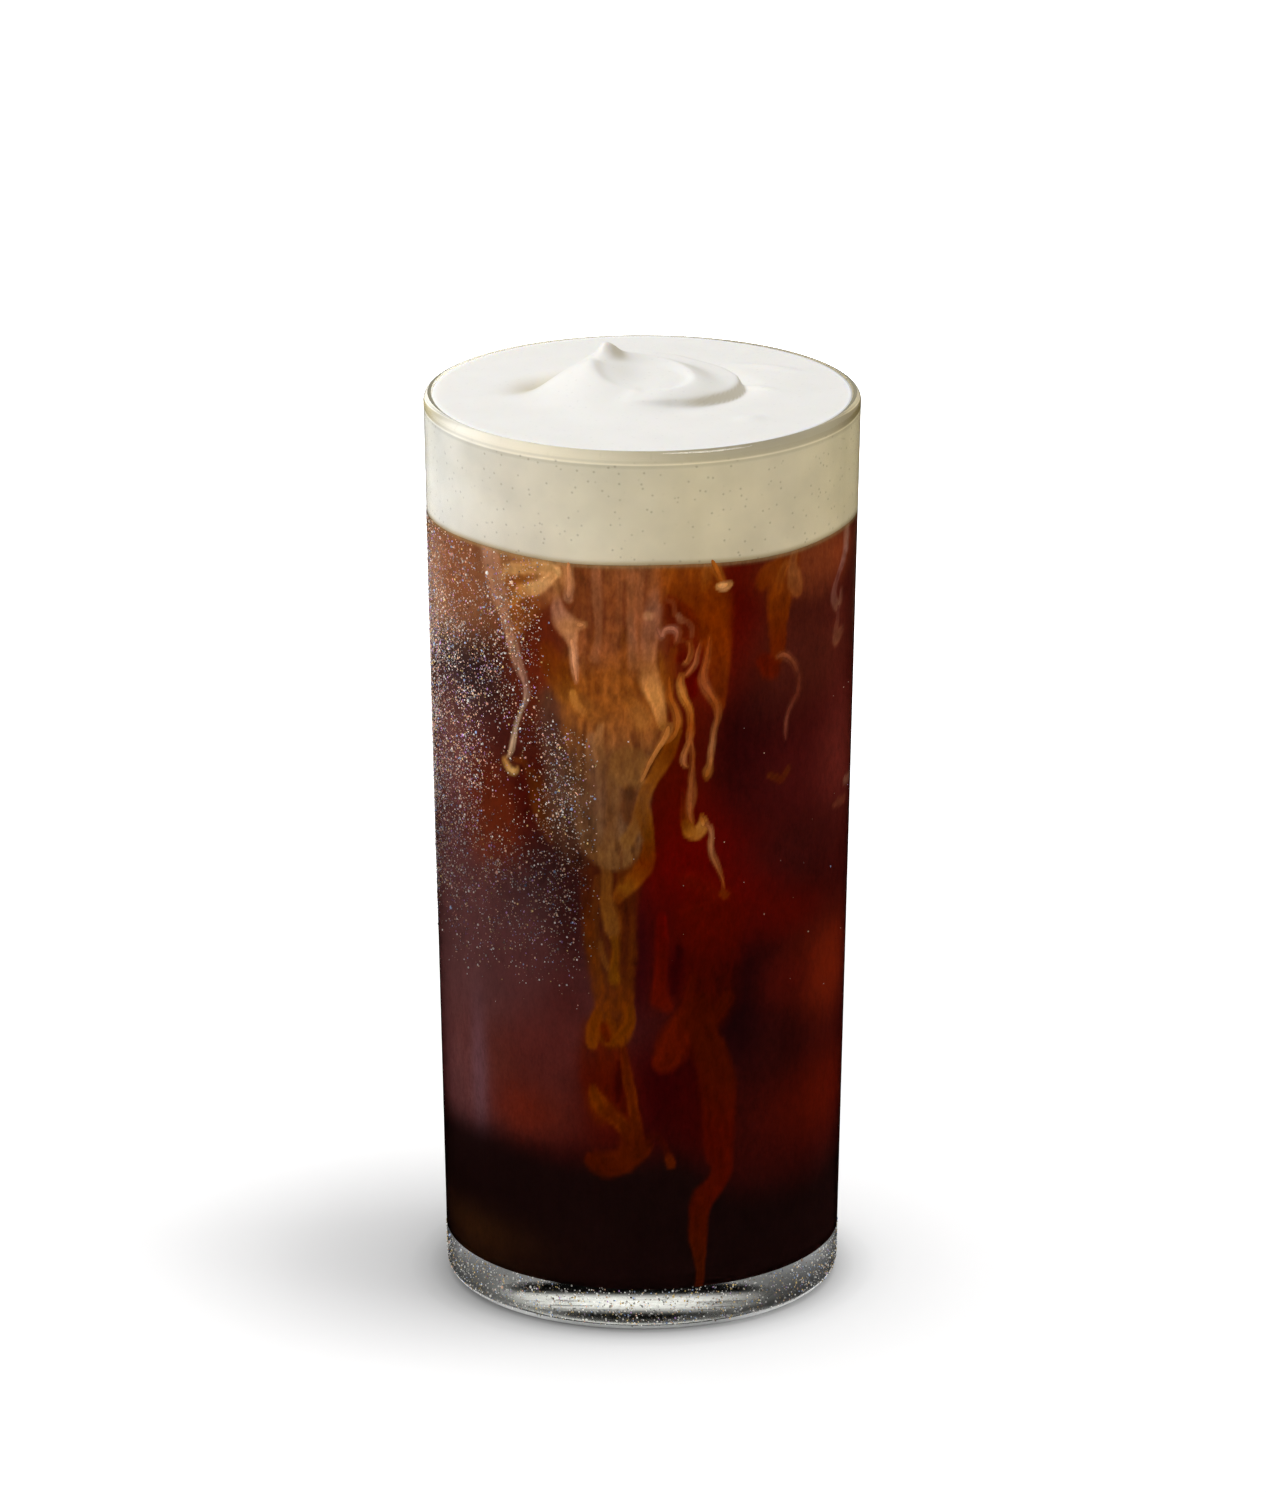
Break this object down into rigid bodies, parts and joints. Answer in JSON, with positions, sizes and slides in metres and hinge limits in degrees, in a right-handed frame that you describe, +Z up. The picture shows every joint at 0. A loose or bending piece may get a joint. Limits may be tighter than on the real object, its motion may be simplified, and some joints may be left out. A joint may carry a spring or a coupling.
{
  "type": "glass of cold brew coffee",
  "caption": "Tall straight-sided drinking glass full of cold brew coffee under a layer of soft whipped cream that stands over the lip in a swirl with a small peak.",
  "frame": {"origin": "middle of the foot, on the surface the glass stands on", "axes": "+Z up along the glass's axis, +X to the right and +Y away from the front of the drink, where the swirl's peak lies to the left"},
  "size_m": [0.076, 0.076, 0.1691],
  "materials": {
    "clear_glass": "clear, smooth, with fine beads of condensation",
    "coffee": "dark clear red-brown liquid with cream sinking through it",
    "cream": "satin, soft whipped cream with fine pores"
  },
  "bodies": {
    "root": {"glass": "clear_glass", "coffee": "coffee", "cream": "cream"}
  },
  "joints": []
}
